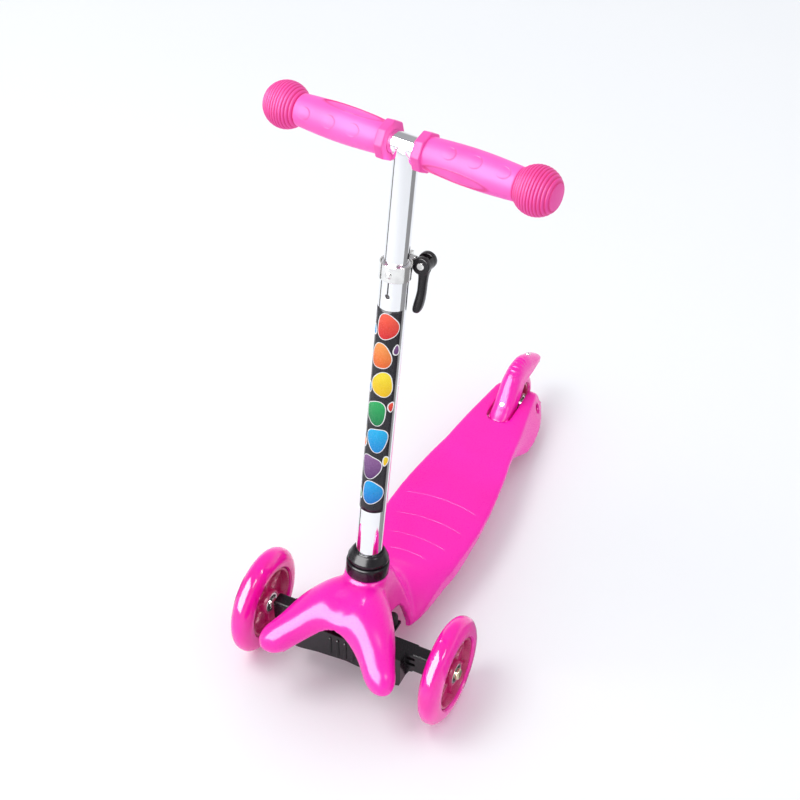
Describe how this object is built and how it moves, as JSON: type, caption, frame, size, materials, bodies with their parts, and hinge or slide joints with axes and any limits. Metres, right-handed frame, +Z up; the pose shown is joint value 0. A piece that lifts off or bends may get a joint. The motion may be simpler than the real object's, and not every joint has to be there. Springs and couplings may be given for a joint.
{
  "type": "three-wheel kick scooter",
  "caption": "Child's kick scooter: front wheels on a lean-to-steer carrier, a moulded deck with a sprung rear fender brake, and a T-shaped handlebar on a clamped telescopic column.",
  "frame": {"origin": "on the ground, under the middle of the bounding box", "axes": "+Z up; -Y the way it rides, so the front wheels are at low Y and the braked wheel at high Y; +X the side the clamp lever is on"},
  "size_m": [0.3082, 0.5904, 0.6313],
  "materials": {
    "glossy_pink_plastic": "glossy",
    "soft_pink_rubber": "satin",
    "clear_pink_tyre": "glossy, slightly translucent",
    "pink_hub_plastic": "glossy",
    "black_plastic": "satin",
    "dark_rubber": "matt",
    "polished_tube": "polished",
    "zinc_steel": "zinc plated",
    "gold_zinc_steel": "yellow zinc plated"
  },
  "bodies": {
    "deck": {"deck_body": "glossy_pink_plastic", "column_collar": "black_plastic", "column_tube": "polished_tube", "clamp_band": "zinc_steel", "clamp_bolt": "zinc_steel", "clamp_nut": "zinc_steel", "clamp_spacer": "zinc_steel", "clamp_rivet": "zinc_steel", "column_button_spring": "zinc_steel", "kingpin_bolt": "zinc_steel", "kingpin_insert": "gold_zinc_steel", "upper_bushing": "dark_rubber", "rear_axle_bolt": "gold_zinc_steel", "rear_axle_nut": "gold_zinc_steel", "rear_wheel_spacer_left": "zinc_steel", "rear_wheel_spacer_right": "zinc_steel", "brake_hinge_pin": "zinc_steel", "brake_spring": "zinc_steel"},
    "carrier": {"axle_beam": "black_plastic", "lower_bushing": "dark_rubber", "steer_buffer_left": "dark_rubber", "steer_buffer_right": "dark_rubber", "front_axle_bolt_left": "gold_zinc_steel", "front_axle_bolt_right": "gold_zinc_steel", "axle_spacer_left": "zinc_steel", "axle_spacer_right": "zinc_steel"},
    "front_left_wheel": {"front_left_tyre": "clear_pink_tyre", "front_left_hub": "pink_hub_plastic", "front_left_bearing_inner": "zinc_steel", "front_left_bearing_outer": "zinc_steel", "front_left_bearing_spacer": "zinc_steel"},
    "front_right_wheel": {"front_right_tyre": "clear_pink_tyre", "front_right_hub": "pink_hub_plastic", "front_right_bearing_inner": "zinc_steel", "front_right_bearing_outer": "zinc_steel", "front_right_bearing_spacer": "zinc_steel"},
    "rear_wheel": {"rear_tyre": "clear_pink_tyre", "rear_hub": "pink_hub_plastic", "rear_bearing_inner": "zinc_steel", "rear_bearing_outer": "zinc_steel", "rear_bearing_spacer": "zinc_steel"},
    "brake": {"brake_fender": "glossy_pink_plastic", "brake_plate": "zinc_steel", "brake_screw_front": "zinc_steel", "brake_screw_rear": "zinc_steel"},
    "tube_plug": {"inner_tube_plug": "black_plastic"},
    "handlebar": {"t_bar": "polished_tube", "grip_left": "soft_pink_rubber", "grip_right": "soft_pink_rubber"},
    "clamp_lever": {"clamp_lever": "black_plastic", "lever_pivot_pin": "zinc_steel"},
    "button": {"column_button": "black_plastic"}
  },
  "joints": [
    {"name": "lean_steer", "type": "hinge", "parent": "deck", "child": "carrier", "pos_m": [0, -0.19985, 0.062], "axis": [0, -0.7071, 0.7071], "range_deg": [-12, 12], "stiffness_Nm_per_rad": 25},
    {"name": "front_left_spin", "type": "hinge", "parent": "carrier", "child": "front_left_wheel", "pos_m": [-0.1112, -0.21985, 0.06], "axis": [1, 0, 0], "continuous": true},
    {"name": "front_right_spin", "type": "hinge", "parent": "carrier", "child": "front_right_wheel", "pos_m": [0.1112, -0.21985, 0.06], "axis": [1, 0, 0], "continuous": true},
    {"name": "rear_spin", "type": "hinge", "parent": "deck", "child": "rear_wheel", "pos_m": [0, 0.22415, 0.04], "axis": [1, 0, 0], "continuous": true},
    {"name": "foot_brake", "type": "hinge", "parent": "deck", "child": "brake", "pos_m": [0, 0.17315, 0.05], "axis": [-1, 0, 0], "range_deg": [0, 6], "stiffness_Nm_per_rad": 0.5, "springref_deg": -17.19, "deforming": ["brake_spring"]},
    {"name": "height_slide", "type": "slide", "parent": "deck", "child": "tube_plug", "axis": [0, 0.1831, 0.9831], "range_m": [-0.05, 0.05]},
    {"name": "handlebar_turn", "type": "hinge", "parent": "tube_plug", "child": "handlebar", "pos_m": [0, -0.15359, 0.30616], "axis": [0, 0.1831, 0.9831], "range_deg": [-82, 98]},
    {"name": "lever_cam", "type": "hinge", "parent": "deck", "child": "clamp_lever", "pos_m": [0.0195, -0.09819, 0.48076], "axis": [0, -0.9831, 0.1831], "range_deg": [0, 110]},
    {"name": "button_press", "type": "slide", "parent": "deck", "child": "button", "axis": [0, -0.9831, 0.1831], "range_m": [0, 0.003], "stiffness_N_per_m": 800, "springref_m": -0.004, "deforming": ["column_button_spring"]}
  ]
}
